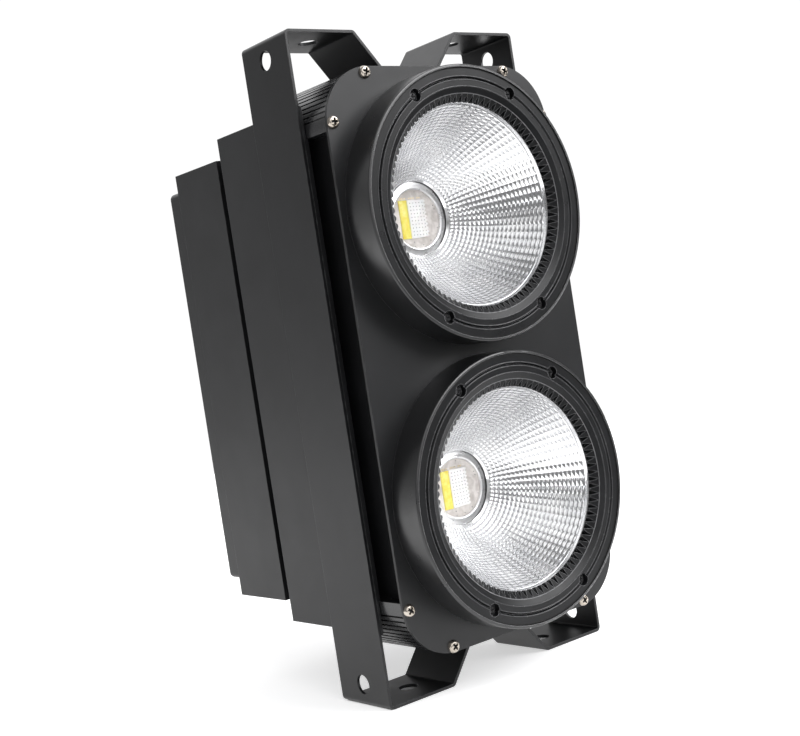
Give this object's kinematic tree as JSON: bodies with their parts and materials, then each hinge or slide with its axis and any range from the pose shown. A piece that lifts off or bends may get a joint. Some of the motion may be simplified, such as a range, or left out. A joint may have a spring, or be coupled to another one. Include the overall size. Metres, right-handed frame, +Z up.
{
  "type": "audience blinder light",
  "caption": "Two round lamps with serrated bezels one above the other in a stepped flat black case, held between two bent side brackets.",
  "frame": {"origin": "middle of the bounding box in X and Y, at the bottom of the lower bracket flanges", "axes": "+Z up, +X to the right as seen from the front, the lamps look along -Y"},
  "size_m": [0.195, 0.253, 0.436],
  "materials": {
    "black_steel": "matte",
    "black_aluminium": "matte",
    "black_casting": "satin",
    "tray_aluminium": "satin",
    "nickel_screw": "polished",
    "black_screw": "satin",
    "zinc_screw": "satin",
    "bright_aluminium": "polished",
    "lamp_board": "satin",
    "warm_phosphor": "satin",
    "white_phosphor": "satin",
    "heatsink_aluminium": "satin",
    "circuit_board": "satin",
    "fan_plastic": "satin",
    "smoked_window": "gloss",
    "button_plastic": "satin",
    "socket_black": "satin",
    "latch_metal": "satin",
    "socket_blue": "satin",
    "socket_grey": "satin"
  },
  "bodies": {
    "case": {"front_plate": "black_steel", "chassis_plate": "black_steel", "left_bracket": "black_steel", "right_bracket": "black_steel", "left_side_wall": "black_steel", "right_side_wall": "black_steel", "mid_housing": "black_aluminium", "rear_housing": "black_aluminium", "rear_cover": "black_aluminium", "ribbed_end_top": "black_aluminium", "ribbed_end_bottom": "black_aluminium", "upper_barrel": "black_casting", "lower_barrel": "black_casting", "upper_bezel": "black_casting", "lower_bezel": "black_casting", "upper_serrated_ring": "black_casting", "lower_serrated_ring": "black_casting", "inner_tray": "tray_aluminium", "power_supply": "tray_aluminium", "plate_screws": "nickel_screw", "bezel_screws": "black_screw", "bracket_screws": "black_screw", "chassis_screws": "black_screw", "cover_screws": "black_screw", "fan_screws": "black_screw", "socket_screws": "black_screw", "barrel_screws": "zinc_screw", "heatsink_screws": "zinc_screw", "housing_screws": "zinc_screw", "upper_reflector": "bright_aluminium", "lower_reflector": "bright_aluminium", "upper_lamp_collar": "bright_aluminium", "lower_lamp_collar": "bright_aluminium", "upper_lamp_board": "lamp_board", "lower_lamp_board": "lamp_board", "upper_warm_emitter": "warm_phosphor", "lower_warm_emitter": "warm_phosphor", "upper_white_emitter": "white_phosphor", "lower_white_emitter": "white_phosphor", "upper_heatsink": "heatsink_aluminium", "lower_heatsink": "heatsink_aluminium", "driver_board": "circuit_board", "control_board": "circuit_board", "upper_fan_frame": "fan_plastic", "lower_fan_frame": "fan_plastic", "display_window": "smoked_window", "data_input": "socket_black", "data_output": "socket_black", "power_input": "socket_blue", "power_output": "socket_grey"},
    "upper_rotor": {"upper_fan_rotor": "fan_plastic"},
    "lower_rotor": {"lower_fan_rotor": "fan_plastic"},
    "menu_key": {"menu_button": "button_plastic"},
    "down_key": {"down_button": "button_plastic"},
    "up_key": {"up_button": "button_plastic"},
    "enter_key": {"enter_button": "button_plastic"},
    "latch": {"data_latch": "latch_metal"}
  },
  "joints": [
    {"name": "upper_fan_spin", "type": "hinge", "parent": "case", "child": "upper_rotor", "pos_m": [0, 0.098, 0.31], "axis": [0, 1, 0], "continuous": true},
    {"name": "lower_fan_spin", "type": "hinge", "parent": "case", "child": "lower_rotor", "pos_m": [0, 0.098, 0.224], "axis": [0, 1, 0], "continuous": true},
    {"name": "menu_press", "type": "slide", "parent": "case", "child": "menu_key", "axis": [0, -1, 0], "range_m": [0, 0.0008], "stiffness_N_per_m": 1200, "springref_m": -0.0006},
    {"name": "down_press", "type": "slide", "parent": "case", "child": "down_key", "axis": [0, -1, 0], "range_m": [0, 0.0008], "stiffness_N_per_m": 1200, "springref_m": -0.0006},
    {"name": "up_press", "type": "slide", "parent": "case", "child": "up_key", "axis": [0, -1, 0], "range_m": [0, 0.0008], "stiffness_N_per_m": 1200, "springref_m": -0.0006},
    {"name": "enter_press", "type": "slide", "parent": "case", "child": "enter_key", "axis": [0, -1, 0], "range_m": [0, 0.0008], "stiffness_N_per_m": 1200, "springref_m": -0.0006},
    {"name": "latch_press", "type": "slide", "parent": "case", "child": "latch", "axis": [0, -1, 0], "range_m": [0, 0.0015], "stiffness_N_per_m": 1500, "springref_m": -0.0008}
  ]
}
